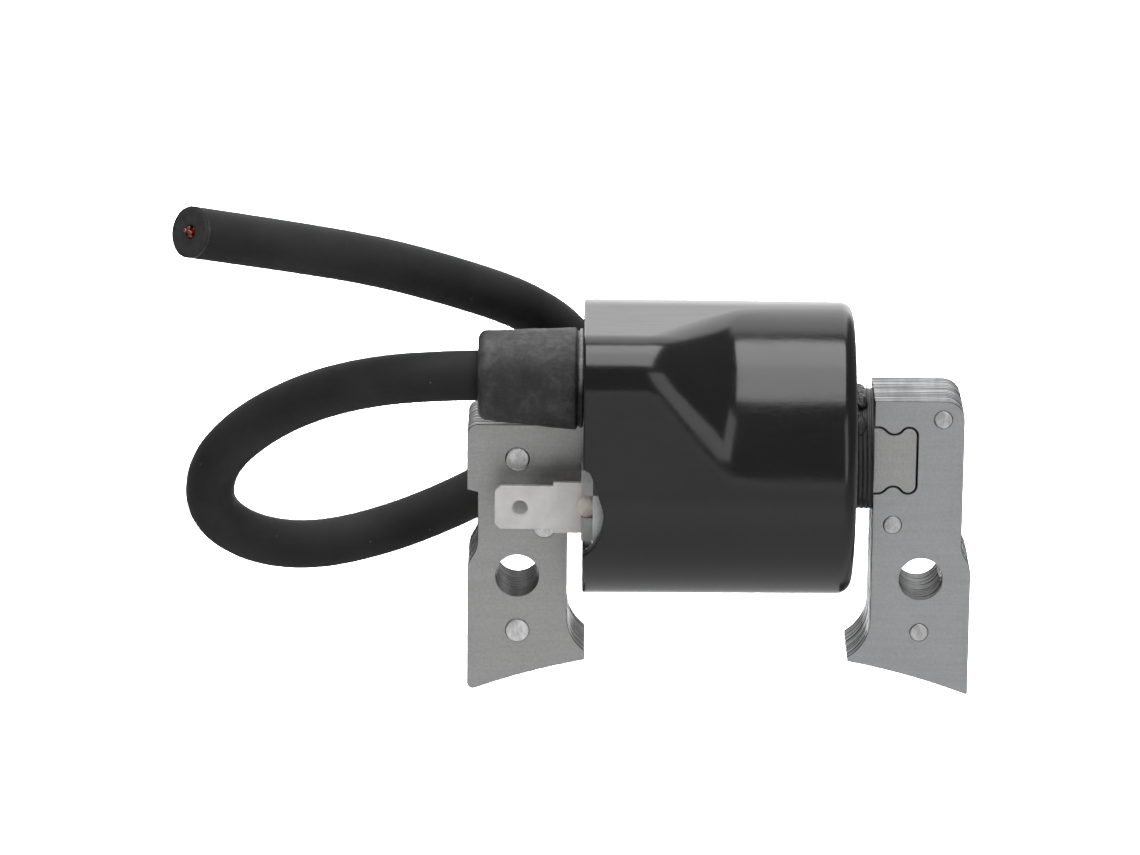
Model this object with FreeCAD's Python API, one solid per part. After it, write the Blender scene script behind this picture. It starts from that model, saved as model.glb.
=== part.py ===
import FreeCAD, Part
import math
import os
from FreeCAD import Vector

# Ignition coil of a small air-cooled engine: a two-legged laminated core, a potted
# coil round its top bar, a kill-switch tab and a free high-tension lead.
# Millimetres.  +X runs along the line of the two mounting holes, +Y points into the
# engine, +Z points away from the flywheel.  The origin is midway between the two
# mounting holes, on the face of the core that bolts against the engine.

# ---- Laminated core -------------------------------------------------------------
lamination_thickness = 0.7
lamination_count = 16
hole_pitch = 56.5
hole_diameter = 6.2
leg_width = 14.1
leg_waist_step = 1.4
ogee_top_z = 5.1
ogee_bottom_z = 0.7
bar_bottom_z = 12.6
bar_top_z = 22.3
left_shoulder_proud = 0.1
left_shoulder_drop = 0.4
left_corner_radius = 1.6
right_leg_top_z = 26.2
right_corner_radius = 2.8
pole_radius = 97.0
pole_apex_z = -10.7
foot_fillet_radius = 6.4
left_foot_reach = 2.55
left_foot_edge = 1.5
left_tip_radius = 0.9
right_foot_reach = 3.05
right_foot_edge = 0.8
right_tip_radius = 0.3

# Wavy tongue that keys the bar into the right leg.
tongue_length = 6.1
tongue_neck = 0.8
tongue_dip_start = 1.75
tongue_dip_middle = 2.9
tongue_dip_end = 3.95
tongue_dip_depth = 1.05
tongue_nose_middle = 5.2
tongue_nose_drop = 1.3

# Rivets: how far each stands outward of its leg's middle line, and its height.
left_rivet_radius = 1.75
left_rivet_offsets = ((0.05, 17.2), (-3.75, 7.4), (-0.05, -8.1))
right_rivet_radius = 1.35
right_rivet_offsets = ((2.55, 23.5), (-4.15, 8.0), (-0.05, -7.9))
rivet_dome = 0.25

# ---- Moulded case ---------------------------------------------------------------
case_radius = 20.5
case_wall = 1.3
case_floor = 1.6
case_rim_gap = 2.0
case_end_gap = 2.8
case_end_fillet = 2.0
bulge_corner_radius = 6.5
bulge_length = 21.2
bulge_taper_deg = 27.5
notch_radius = 8.7
notch_outside_rim = 5.8
notch_above_tab = 2.0
resin_recess = 1.4

# ---- Windings -------------------------------------------------------------------
core_clearance = 0.1
bobbin_wall = 0.85
boss_clearance = 0.05
primary_inside_rim = 4.7
primary_end_cover = 0.8
primary_flange_lip = 0.4
primary_flange_thickness = 1.2
primary_winding_build = 2.0
insulation_thickness = 0.4
secondary_inside_rim = 7.7
secondary_end_cover = 1.8
secondary_bore_clearance = 0.1
secondary_tube_wall = 1.0
secondary_flange_lip = 0.6
secondary_flange_thickness = 0.8
secondary_sections = 5
secondary_resin_cover = 2.4

# ---- Kill-switch tab and its holder ---------------------------------------------
tab_ahead_of_core = 5.0
tab_thickness = 0.8
tab_below_axis = 5.55
tab_blade_height = 6.3
tab_blade_length = 8.1
tab_root_outside_rim = 4.1
tab_root_inside_rim = 4.3
tab_root_height = 7.4
tab_corner_chamfer = 0.8
tab_hole_setback = 3.55
tab_hole_diameter = 2.0
holder_outside_rim = 0.2
holder_inside_rim = 4.2
holder_front_cover = 2.2
holder_back_cover = 2.8
holder_below_tab = 4.2
holder_above_tab = 6.1
holder_slot_below_tab = 1.0
holder_slot_above_tab = 2.4
holder_slot_inside_rim = 2.6
holder_window_above_tab = 4.6
solder_radius = 1.45
solder_inside_rim = 1.0

# ---- High-tension lead ----------------------------------------------------------
lead_diameter = 7.0
conductor_diameter = 2.0
conductor_stub = 0.5
lead_cover_front = 12.2
lead_cover_top = 6.75
lead_inside_rim = 3.8
boot_clearance = 0.1
boot_outer_wall = 2.7
boot_inner_wall = 3.35
boot_neck_wall = 2.0
boot_length = 13.7
boot_outside_rim = 0.9
boot_neck_inside_rim = 2.0
boot_edge_fillet = 1.1
contact_radius = 3.0
contact_thickness = 0.8
contact_stud_radius = 0.8
contact_stud_length = 1.8
link_wire_radius = 0.25

# Route of the lead: from its seat in the resin, out through the boot, round the back
# of the left leg and forward over the top again to the cut end.
lead_route = [
    (-15.4, -12.6, 29.9),
    (-26.0, -12.6, 29.9),
    (-37.0, -12.6, 29.8),
    (-48.0, -11.6, 28.7),
    (-58.0, -7.0, 24.6),
    (-66.5, -1.5, 18.2),
    (-72.0, 4.5, 10.5),
    (-72.5, 9.5, 2.2),
    (-67.0, 13.0, -3.2),
    (-58.5, 15.5, -5.2),
    (-48.5, 18.0, -3.8),
    (-38.0, 20.5, -0.3),
    (-28.0, 23.0, 4.6),
    (-20.5, 24.5, 11.2),
    (-18.0, 23.5, 19.0),
    (-21.5, 19.0, 26.2),
    (-27.5, 10.5, 33.0),
    (-36.0, 0.5, 39.0),
    (-47.0, -12.5, 46.0),
    (-59.5, -25.5, 52.0),
    (-71.8, -37.5, 57.3),
]

# ---- Trigger board --------------------------------------------------------------
board_thickness = 1.2
board_inside_rim = 5.0
board_width = 16.0
board_case_gap = 0.5
board_gap = 0.5
primary_wire_radius = 0.3
earth_strap_width = 1.6
earth_strap_thickness = 0.4
earth_strap_foot = 2.6
earth_strap_depth_in_winding = 0.9

# ---- Sizes and places that follow from the ones above ---------------------------
stack_depth = lamination_thickness * lamination_count
bar_height = bar_top_z - bar_bottom_z
axis_y = -stack_depth / 2
axis_z = (bar_top_z + bar_bottom_z) / 2
leg_middle_x = hole_pitch / 2
leg_inner_x = leg_middle_x - leg_width / 2
leg_outer_x = leg_middle_x + leg_width / 2
leg_waist_x = leg_outer_x - leg_waist_step
left_shoulder_x = leg_outer_x + left_shoulder_proud
left_foot_x = leg_inner_x - left_foot_reach
right_foot_x = leg_inner_x - right_foot_reach
left_rivet_places = [(-leg_middle_x - outward, z) for outward, z in left_rivet_offsets]
right_rivet_places = [(leg_middle_x + outward, z) for outward, z in right_rivet_offsets]

case_rim_x = case_rim_gap - leg_inner_x
case_end_x = leg_inner_x - case_end_gap
inner_radius = case_radius - case_wall
bulge_end_x = case_rim_x + bulge_length
resin_start_x = case_rim_x + resin_recess
resin_end_x = case_end_x - case_floor

boss_radius = math.hypot(stack_depth / 2 + core_clearance, bar_height / 2 + core_clearance) + bobbin_wall
winding_radius = boss_radius + primary_winding_build
insulation_radius = winding_radius + insulation_thickness
primary_flange_radius = insulation_radius + primary_flange_lip
primary_start_x = case_rim_x + primary_inside_rim
primary_end_x = resin_end_x - primary_end_cover
secondary_bore = primary_flange_radius + secondary_bore_clearance
secondary_tube = secondary_bore + secondary_tube_wall
secondary_flange_radius = inner_radius - secondary_resin_cover
secondary_winding_radius = secondary_flange_radius - secondary_flange_lip
secondary_start_x = case_rim_x + secondary_inside_rim
secondary_end_x = resin_end_x - secondary_end_cover
secondary_pitch = (secondary_end_x - secondary_start_x - secondary_flange_thickness) / secondary_sections

tab_plane_y = -stack_depth - tab_ahead_of_core
tab_front_y = tab_plane_y - tab_thickness / 2
tab_centre_z = axis_z - tab_below_axis
tab_shoulder_x = case_rim_x - tab_root_outside_rim
tab_root_end_x = case_rim_x + tab_root_inside_rim
tab_blade_end_x = tab_shoulder_x - tab_blade_length
tab_hole_x = tab_blade_end_x + tab_hole_setback
solder_x = case_rim_x + solder_inside_rim

lead_radius = lead_diameter / 2
lead_exit_y = axis_y - inner_radius + lead_cover_front
lead_exit_z = axis_z + inner_radius - lead_cover_top
lead_seat_x = case_rim_x + lead_inside_rim
boot_bore = lead_radius + boot_clearance
boot_inner_x = case_rim_x - boot_outside_rim
boot_outer_x = boot_inner_x - boot_length
contact_end_x = lead_seat_x + contact_thickness + contact_stud_length

board_x = case_rim_x + board_inside_rim
board_top_z = axis_z - primary_flange_radius - board_gap
board_bottom_z = axis_z - math.sqrt((inner_radius - board_case_gap) ** 2 - (board_width / 2) ** 2)


def save(shape, name):
    """Write one node's solid, or its group of solids, to its own STEP file."""
    shape.exportStep("parts/" + name + ".step")
    print(name, "volume", round(shape.Volume, 2), "valid", shape.isValid(), "solids", len(shape.Solids))


def rod(radius, start_x, end_x, y=axis_y, z=axis_z):
    """Round bar along X."""
    return Part.makeCylinder(radius, end_x - start_x, Vector(start_x, y, z), Vector(1, 0, 0))


def ring(outer, inner, start_x, end_x):
    """Ring round the coil's axis."""
    return rod(outer, start_x, end_x).cut(rod(inner, start_x - 1, end_x + 1))


def block(start, end):
    """Box between two opposite corners."""
    size = Vector(*end) - Vector(*start)
    return Part.makeBox(size.x, size.y, size.z, Vector(*start))


def in_front(points, sign=1):
    """Points of an outline on the rear face, mirrored to the left leg when sign is -1."""
    return [Vector(sign * x, 0, z) for x, z in points]


def stacked(edges):
    """Carry a closed outline through the whole thickness of the stack."""
    face = Part.Face(Part.Wire(edges))
    return face.extrude(Vector(0, -stack_depth, 0))


def line(start, end):
    return Part.LineSegment(start, end).toShape()


def arc(start, middle, end):
    return Part.Arc(start, middle, end).toShape()


def pole_z(x):
    """Height of the pole face, an arc about the flywheel's axis."""
    return pole_apex_z - pole_radius + math.sqrt(pole_radius ** 2 - x ** 2)


def foot_fillet(foot_x, edge_height):
    """Start, middle and end of the arc from a leg's inner side out to its foot."""
    turn = math.acos(1 - (leg_inner_x - foot_x) / foot_fillet_radius)
    end_z = pole_z(foot_x) + edge_height
    start_z = end_z + foot_fillet_radius * math.sin(turn)
    middle_x = leg_inner_x - foot_fillet_radius * (1 - math.cos(turn / 2))
    middle_z = start_z - foot_fillet_radius * math.sin(turn / 2)
    return (leg_inner_x, start_z), (middle_x, middle_z), (foot_x, end_z)


def leg_below(sign, foot_x, edge_height, inner_top_z, waist_start):
    """Edges of a leg from its inner side, round the foot and pole, up to its waist."""
    fillet = foot_fillet(foot_x, edge_height)
    pole_middle_x = (foot_x + leg_outer_x) / 2
    pole = [(foot_x, pole_z(foot_x)), (pole_middle_x, pole_z(pole_middle_x)), (leg_outer_x, pole_z(leg_outer_x))]
    ogee_middle = ((leg_outer_x + leg_waist_x) / 2, (ogee_top_z + ogee_bottom_z) / 2)
    step = leg_outer_x - leg_waist_x
    drop = ogee_top_z - ogee_bottom_z
    lower = (leg_outer_x - 0.15 * step, ogee_bottom_z + 0.27 * drop)
    upper = (leg_waist_x + 0.15 * step, ogee_top_z - 0.27 * drop)
    a, b, c = in_front(fillet, sign)
    p, q, r = in_front(pole, sign)
    low, low_mid, mid, up_mid, up = in_front(
        [(leg_outer_x, ogee_bottom_z), lower, ogee_middle, upper, (leg_waist_x, ogee_top_z)], sign)
    inner_top, waist = in_front([(leg_inner_x, inner_top_z), waist_start], sign)
    return [line(inner_top, a), arc(a, b, c), line(c, p), arc(p, q, r), line(r, low),
            arc(low, low_mid, mid), arc(mid, up_mid, up), line(up, waist)]


def tongue_side(edge_z, inward):
    """Wavy side of the tongue, from the leg's inner side to the nose; inward is +1 or -1."""
    def at(offset, depth):
        return Vector(leg_inner_x + offset, 0, edge_z + inward * depth)
    half = tongue_dip_depth / 2
    neck = at(tongue_neck, 0)
    dip_start = at(tongue_dip_start, half)
    dip_end = at(tongue_dip_end, half)
    nose = at(tongue_length, tongue_nose_drop)
    neck_middle = at((tongue_neck + tongue_dip_start) / 2, half * 0.3)
    return [line(at(0, 0), neck), arc(neck, neck_middle, dip_start),
            arc(dip_start, at(tongue_dip_middle, tongue_dip_depth), dip_end),
            arc(dip_end, at(tongue_nose_middle, 0.05), nose)]


def tongue_edges():
    """Both sides and the nose of the tongue, in order round its outline."""
    top = tongue_side(bar_top_z, -1)
    bottom = tongue_side(bar_bottom_z, 1)
    nose_x = leg_inner_x + tongue_length
    nose = line(Vector(nose_x, 0, bar_top_z - tongue_nose_drop), Vector(nose_x, 0, bar_bottom_z + tongue_nose_drop))
    return top + [nose] + bottom


def upright_edges(shape, x, z, reach=0.3):
    """Edges that run through the stack at one corner of its outline."""
    found = []
    for edge in shape.Edges:
        box = edge.BoundBox
        at_corner = abs(box.Center.x - x) < reach and abs(box.Center.z - z) < reach
        if box.YLength > stack_depth - 0.1 and at_corner:
            found.append(edge)
    return found


def drilled(shape, hole_x, rivets, rivet_radius):
    """Drill the mounting hole and the rivet holes through a stack."""
    depth = Vector(0, -1, 0)
    hole = Part.makeCylinder(hole_diameter / 2, stack_depth, Vector(hole_x, 0, 0), depth)
    shape = shape.cut(hole)
    for x, z in rivets:
        shape = shape.cut(Part.makeCylinder(rivet_radius, stack_depth, Vector(x, 0, z), depth))
    return shape


def left_core_stack():
    """Left leg, top bar and tongue, punched as one lamination."""
    step_inner_z = bar_bottom_z - left_shoulder_drop
    leg = leg_below(-1, left_foot_x, left_foot_edge, bar_bottom_z, (leg_waist_x, step_inner_z))
    under_bar = line(Vector(leg_inner_x, 0, bar_bottom_z), Vector(-leg_inner_x, 0, bar_bottom_z))
    waist = Vector(-leg_waist_x, 0, step_inner_z)
    shoulder = Vector(-left_shoulder_x, 0, bar_bottom_z)
    corner = Vector(-left_shoulder_x, 0, bar_top_z)
    top = [line(waist, shoulder), line(shoulder, corner), line(corner, Vector(leg_inner_x, 0, bar_top_z))]
    edges = Part.__sortEdges__(leg + [under_bar] + top + tongue_edges())
    shape = stacked(edges)
    shape = shape.makeFillet(left_corner_radius, upright_edges(shape, -left_shoulder_x, bar_top_z))
    shape = shape.makeFillet(left_tip_radius, upright_edges(shape, -leg_outer_x, pole_z(leg_outer_x)))
    return drilled(shape, -hole_pitch / 2, left_rivet_places, left_rivet_radius)


def right_pole_stack():
    """Right leg, with the socket that the tongue is pressed into."""
    leg = leg_below(1, right_foot_x, right_foot_edge, right_leg_top_z, (leg_waist_x, right_leg_top_z))
    top = line(Vector(leg_inner_x, 0, right_leg_top_z), Vector(leg_waist_x, 0, right_leg_top_z))
    shape = stacked(Part.__sortEdges__(leg + [top]))
    mouth = line(Vector(leg_inner_x, 0, bar_top_z), Vector(leg_inner_x, 0, bar_bottom_z))
    socket = stacked(Part.__sortEdges__(tongue_edges() + [mouth]))
    shape = shape.cut(socket)
    shape = shape.makeFillet(right_corner_radius, upright_edges(shape, leg_waist_x, right_leg_top_z))
    shape = shape.makeFillet(right_tip_radius, upright_edges(shape, leg_outer_x, pole_z(leg_outer_x)))
    return drilled(shape, hole_pitch / 2, right_rivet_places, right_rivet_radius)


def rivets(places, radius):
    """Flush rivets with a slightly domed head on the outer side."""
    solids = []
    dome_radius = (radius ** 2 + rivet_dome ** 2) / (2 * rivet_dome)
    for x, z in places:
        shank = Part.makeCylinder(radius, stack_depth, Vector(x, 0, z), Vector(0, -1, 0))
        ball = Part.makeSphere(dome_radius, Vector(x, -stack_depth + dome_radius - rivet_dome, z))
        bore = Part.makeCylinder(radius, rivet_dome + 0.1, Vector(x, -stack_depth, z), Vector(0, -1, 0))
        solids.append(shank.fuse(ball.common(bore)).removeSplitter())
    return Part.makeCompound(solids)


def case_body(inset, start_x, end_x):
    """The case's round form and its squared bulge, drawn in by an inset."""
    radius = case_radius - inset
    corner = bulge_corner_radius - inset
    flat = radius - corner
    diagonal = flat + corner * math.sqrt(0.5)

    def at(y, z):
        return Vector(start_x, axis_y + y, axis_z + z)
    outline = [line(at(0, 0), at(-radius, 0)), line(at(-radius, 0), at(-radius, flat)),
               arc(at(-radius, flat), at(-diagonal, diagonal), at(-flat, radius)),
               line(at(-flat, radius), at(0, radius)), line(at(0, radius), at(0, 0))]
    length = bulge_end_x - start_x
    bulge = Part.Face(Part.Wire(outline)).extrude(Vector(length, 0, 0))
    wide = radius + length * math.tan(math.radians(bulge_taper_deg))
    cone = Part.makeCone(wide, radius, length, Vector(start_x, axis_y, axis_z), Vector(1, 0, 0))
    return rod(radius, start_x, end_x).fuse(bulge.common(cone)).removeSplitter()


def coil_case():
    """Moulded cup, open towards the left leg, with a notch in its rim for the tab."""
    shell = case_body(0, case_rim_x, case_end_x)
    rims = []
    for edge in shell.Edges:
        if abs(edge.BoundBox.XMin - case_end_x) < 0.01 and edge.BoundBox.XLength < 0.01:
            rims.append(edge)
    shell = shell.makeFillet(case_end_fillet, rims)
    shell = shell.cut(case_body(case_wall, case_rim_x, resin_end_x))
    shell = shell.cut(rod(boss_radius + boss_clearance, resin_end_x - 1, case_end_x + 1))
    centre = Vector(case_rim_x - notch_outside_rim, axis_y, tab_centre_z + notch_above_tab)
    return shell.cut(Part.makeCylinder(notch_radius, case_radius + 1, centre, Vector(0, -1, 0)))


def bobbin_bore(start_x, end_x):
    """Rectangular passage for the core's bar."""
    half_y = stack_depth / 2 + core_clearance
    half_z = bar_height / 2 + core_clearance
    return block((start_x, axis_y - half_y, axis_z - half_z), (end_x, axis_y + half_y, axis_z + half_z))


def primary_bobbin_body():
    """Outer form of the primary bobbin: a tube, two flanges and the boss at its end."""
    body = rod(boss_radius, primary_start_x, leg_inner_x)
    first = rod(primary_flange_radius, primary_start_x, primary_start_x + primary_flange_thickness)
    second = rod(primary_flange_radius, primary_end_x - primary_flange_thickness, primary_end_x)
    return body.fuse([first, second]).removeSplitter()


def primary_bobbin():
    return primary_bobbin_body().cut(bobbin_bore(primary_start_x - 1, leg_inner_x + 1))


def between_flanges(inner, outer):
    """A layer wound between the primary bobbin's flanges."""
    return ring(outer, inner, primary_start_x + primary_flange_thickness, primary_end_x - primary_flange_thickness)


def secondary_bobbin():
    """Sectioned former that slips over the primary."""
    body = ring(secondary_tube, secondary_bore, secondary_start_x, secondary_end_x)
    flanges = []
    for number in range(secondary_sections + 1):
        x = secondary_start_x + number * secondary_pitch
        flanges.append(ring(secondary_flange_radius, secondary_bore, x, x + secondary_flange_thickness))
    body = body.fuse(flanges).removeSplitter()
    return body.cut(link_wire())


def secondary_winding():
    """One fine-wire section between each pair of flanges."""
    sections = []
    for number in range(secondary_sections):
        x = secondary_start_x + number * secondary_pitch
        sections.append(ring(secondary_winding_radius, secondary_tube, x + secondary_flange_thickness, x + secondary_pitch))
    return Part.makeCompound(sections)


def kill_terminal():
    """Flat tab for a push-on connector, with a wider root held in the resin."""
    top = tab_centre_z + tab_blade_height / 2
    bottom = tab_centre_z - tab_blade_height / 2
    root_top = tab_centre_z + tab_root_height / 2
    root_bottom = tab_centre_z - tab_root_height / 2
    end = tab_blade_end_x
    cut = tab_corner_chamfer
    corners = [(end + cut, bottom), (tab_shoulder_x, bottom), (tab_shoulder_x, root_bottom),
               (tab_root_end_x, root_bottom), (tab_root_end_x, root_top), (tab_shoulder_x, root_top),
               (tab_shoulder_x, top), (end + cut, top), (end, top - cut), (end, bottom + cut)]
    points = [Vector(x, tab_front_y, z) for x, z in corners]
    face = Part.Face(Part.makePolygon(points + [points[0]]))
    plate = face.extrude(Vector(0, tab_thickness, 0))
    hole = Part.makeCylinder(tab_hole_diameter / 2, tab_thickness + 2,
                             Vector(tab_hole_x, tab_front_y - 1, tab_centre_z), Vector(0, 1, 0))
    return plate.cut(hole)


def terminal_solder():
    """Round solder joint on the tab, between the jaws of the holder."""
    centre = Vector(solder_x, tab_front_y, tab_centre_z)
    ball = Part.makeSphere(solder_radius, centre)
    half = block((solder_x - 3, tab_front_y - 3, tab_centre_z - 3), (solder_x + 3, tab_front_y, tab_centre_z + 3))
    return ball.common(half)


def terminal_holder():
    """Nylon block whose two jaws grip the tab's root, with a plate that closes the case's notch."""
    start_x = case_rim_x - holder_outside_rim
    front_y = tab_plane_y - holder_front_cover
    body = block((start_x, front_y, tab_centre_z - holder_below_tab),
                 (case_rim_x + holder_inside_rim, tab_plane_y + holder_back_cover, tab_centre_z + holder_above_tab))
    front_slot = block((start_x - 1, front_y - 1, tab_centre_z - holder_slot_below_tab),
                       (case_rim_x + holder_slot_inside_rim, tab_front_y, tab_centre_z + holder_slot_above_tab))
    window = block((resin_start_x, axis_y - case_radius, tab_centre_z - holder_below_tab),
                   (case_rim_x + holder_inside_rim, front_y + 0.5, tab_centre_z + holder_window_above_tab))
    window = window.common(rod(inner_radius, resin_start_x, case_rim_x + holder_inside_rim))
    return body.cut(front_slot).fuse(window).removeSplitter().cut(kill_terminal()).cut(terminal_solder())


def lead_path():
    """Wire of straight runs joined by tangent arcs along the lead's route."""
    points = [Vector(*point) for point in lead_route]
    edges = []
    start = points[0]
    for before, corner, after in zip(points, points[1:], points[2:]):
        back = (before - corner)
        ahead = (after - corner)
        shorter = min(back.Length, ahead.Length)
        back.normalize()
        ahead.normalize()
        half_turn = (math.pi - back.getAngle(ahead)) / 2
        setback = 0.45 * shorter
        radius = setback / math.tan(half_turn)
        print("lead bend radius", round(radius, 1))
        inward = back + ahead
        inward.normalize()
        arc_start = corner + back * setback
        arc_end = corner + ahead * setback
        middle = corner + inward * (radius / math.cos(half_turn) - radius)
        edges.append(line(start, arc_start))
        edges.append(arc(arc_start, middle, arc_end))
        start = arc_end
    edges.append(line(start, points[-1]))
    return Part.Wire(edges)


def lead_tube(radius):
    """Round tube along the lead's route, compared with its section times its length."""
    path = lead_path()
    profile = Part.Wire(Part.makeCircle(radius, Vector(*lead_route[0]), Vector(1, 0, 0)))
    tube = path.makePipeShell([profile], True, False)
    expected = math.pi * radius ** 2 * path.Length
    print("lead length", round(path.Length, 1), "volume ratio", round(tube.Volume / expected, 4))
    return tube


def lead_end_direction():
    direction = Vector(*lead_route[-1]) - Vector(*lead_route[-2])
    return direction.normalize()


def lead_conductor():
    """Stranded conductor, standing slightly proud of the cut end."""
    stub = Part.makeCylinder(conductor_diameter / 2, conductor_stub, Vector(*lead_route[-1]), lead_end_direction())
    return lead_tube(conductor_diameter / 2).fuse(stub).removeSplitter()


def lead_boot():
    """Rubber sleeve over the lead, with a neck moulded into the resin."""
    cone = Part.makeCone(boot_bore + boot_outer_wall, boot_bore + boot_inner_wall, boot_length,
                         Vector(boot_outer_x, lead_exit_y, lead_exit_z), Vector(1, 0, 0))
    outer_edge = [edge for edge in cone.Edges if edge.BoundBox.XMax < boot_outer_x + 0.01]
    cone = cone.makeFillet(boot_edge_fillet, outer_edge)
    neck_end_x = case_rim_x + boot_neck_inside_rim
    neck = rod(boot_bore + boot_neck_wall, boot_inner_x, neck_end_x, lead_exit_y, lead_exit_z)
    hole = rod(boot_bore, boot_outer_x - 1, neck_end_x + 1, lead_exit_y, lead_exit_z)
    return cone.fuse(neck).removeSplitter().cut(hole)


def ht_contact():
    """Brass disc against the lead's inner end, with a stud for the fine wire."""
    disc_end = lead_seat_x + contact_thickness
    disc = rod(contact_radius, lead_seat_x, disc_end, lead_exit_y, lead_exit_z)
    stud = rod(contact_stud_radius, disc_end, contact_end_x, lead_exit_y, lead_exit_z)
    return disc.fuse(stud).removeSplitter()


def link_wire():
    """Fine wire from the contact's stud through the first flange to the secondary."""
    end_x = secondary_start_x + secondary_flange_thickness
    return rod(link_wire_radius, contact_end_x, end_x, lead_exit_y, lead_exit_z)


def primary_lead_wire():
    """Wire from the tab's root in to the start of the primary winding."""
    wire_z = tab_centre_z + 1.5
    wire_y = axis_y - winding_radius + primary_wire_radius
    start = Vector(tab_root_end_x, wire_y, wire_z)
    end_x = primary_start_x + primary_flange_thickness
    return Part.makeCylinder(primary_wire_radius, end_x - start.x, start, Vector(1, 0, 0))


def earth_strap():
    """Flat strap from the core's bar, up the flange and through it to the primary."""
    low_y = axis_y - earth_strap_width / 2
    high_y = axis_y + earth_strap_width / 2
    end_x = primary_start_x + primary_flange_thickness
    through_z = axis_z + boss_radius + earth_strap_depth_in_winding
    foot = block((primary_start_x - earth_strap_foot, low_y, bar_top_z),
                 (primary_start_x, high_y, bar_top_z + earth_strap_thickness))
    riser = block((primary_start_x - earth_strap_thickness, low_y, bar_top_z), (primary_start_x, high_y, through_z))
    across = block((primary_start_x - earth_strap_thickness, low_y, through_z - earth_strap_thickness),
                   (end_x, high_y, through_z))
    return foot.fuse([riser, across]).removeSplitter()


def board_block(y, width, drop, height, depth):
    """A component on the board's outer side, placed from the board's middle and top."""
    top = board_top_z - drop
    y = axis_y + y
    return block((board_x - depth, y - width / 2, top - height), (board_x, y + width / 2, top))


def circuit_board():
    half = board_width / 2
    return block((board_x, axis_y - half, board_bottom_z),
                 (board_x + board_thickness, axis_y + half, board_top_z))


def trigger_parts():
    """Components of the trigger circuit, by node name."""
    resistors = [board_block(-6.2, 1.2, 0.8, 2.0, 0.6), board_block(-6.2, 1.2, 3.1, 2.0, 0.6)]
    return {
        "switching_transistor": board_block(4.6, 4.5, 0.5, 4.0, 1.8),
        "control_chip": board_block(-0.3, 3.9, 0.8, 3.6, 1.2),
        "board_resistors": Part.makeCompound(resistors),
        "board_capacitor": board_block(-3.8, 1.6, 0.8, 2.0, 1.1),
        "board_diode": board_block(-3.8, 1.4, 3.2, 1.9, 0.9),
    }


os.makedirs("parts", exist_ok=True)

nodes = {
    "left_core_stack": left_core_stack(),
    "right_pole_stack": right_pole_stack(),
    "left_core_rivets": rivets(left_rivet_places, left_rivet_radius),
    "right_pole_rivets": rivets(right_rivet_places, right_rivet_radius),
    "coil_case": coil_case(),
    "primary_bobbin": primary_bobbin(),
    "primary_winding": between_flanges(boss_radius, winding_radius),
    "winding_insulation": between_flanges(winding_radius, insulation_radius),
    "secondary_bobbin": secondary_bobbin(),
    "secondary_winding": secondary_winding(),
    "terminal_holder": terminal_holder(),
    "kill_terminal": kill_terminal(),
    "terminal_solder": terminal_solder(),
    "primary_lead_wire": primary_lead_wire(),
    "earth_strap": earth_strap(),
    "circuit_board": circuit_board(),
    "ht_contact": ht_contact(),
    "ht_link_wire": link_wire(),
    "lead_boot": lead_boot(),
    "ht_lead_jacket": lead_tube(lead_radius).cut(lead_tube(conductor_diameter / 2)),
    "ht_lead_conductor": lead_conductor(),
}
nodes.update(trigger_parts())

# The wire and the strap that pass through the flange leave room for themselves there.
wires = nodes["primary_lead_wire"].fuse(nodes["earth_strap"])
for name in ("primary_bobbin", "primary_winding", "winding_insulation"):
    nodes[name] = nodes[name].cut(wires)

# The resin fills what the pieces inside the case leave free.
resin = case_body(case_wall, resin_start_x, resin_end_x)
buried = [primary_bobbin_body(), nodes["left_core_stack"]]
for name in nodes:
    if name not in ("left_core_stack", "right_pole_stack", "coil_case", "primary_bobbin"):
        buried.append(nodes[name])
for piece in buried:
    resin = resin.cut(piece)
nodes["potting_resin"] = max(resin.Solids, key=lambda solid: solid.Volume)

for name, shape in nodes.items():
    save(shape, name)
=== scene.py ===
import math

import bmesh
import bpy
import numpy as np
from mathutils import Matrix, Vector


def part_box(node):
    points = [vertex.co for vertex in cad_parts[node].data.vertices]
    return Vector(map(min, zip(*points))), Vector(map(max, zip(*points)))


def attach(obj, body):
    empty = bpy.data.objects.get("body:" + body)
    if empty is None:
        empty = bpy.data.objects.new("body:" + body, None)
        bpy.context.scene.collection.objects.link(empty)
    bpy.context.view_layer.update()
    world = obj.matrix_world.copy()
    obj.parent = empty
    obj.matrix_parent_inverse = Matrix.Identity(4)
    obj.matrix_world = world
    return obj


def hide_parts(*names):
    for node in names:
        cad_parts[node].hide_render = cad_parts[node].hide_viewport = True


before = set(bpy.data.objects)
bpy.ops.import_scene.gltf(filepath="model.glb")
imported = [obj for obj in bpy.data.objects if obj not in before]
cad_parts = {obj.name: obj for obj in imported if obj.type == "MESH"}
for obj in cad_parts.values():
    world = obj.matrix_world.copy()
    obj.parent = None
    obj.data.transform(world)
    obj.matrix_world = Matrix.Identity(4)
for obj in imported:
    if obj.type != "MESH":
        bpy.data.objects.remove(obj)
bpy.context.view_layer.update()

# Camera.
# A long lens looks down on the coil from in front, with the lead's cut end at the upper left.
MM = 0.001
camera_target = Vector((-21.03, 0.0, 18.25)) * MM
camera_distance = 850 * MM
camera_elevation = math.radians(18)
camera_roll = math.radians(0.505)
camera_data = bpy.data.cameras.new("camera")
camera_data.sensor_width = 36.0
camera_data.lens = 190.6
camera_data.clip_start = 0.05
camera = bpy.data.objects.new("camera", camera_data)
bpy.context.scene.collection.objects.link(camera)
camera_away = Vector((0.0, -math.cos(camera_elevation), math.sin(camera_elevation)))
camera_turn = (-camera_away).to_track_quat("-Z", "Y").to_matrix() @ Matrix.Rotation(camera_roll, 3, "Z")
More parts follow.
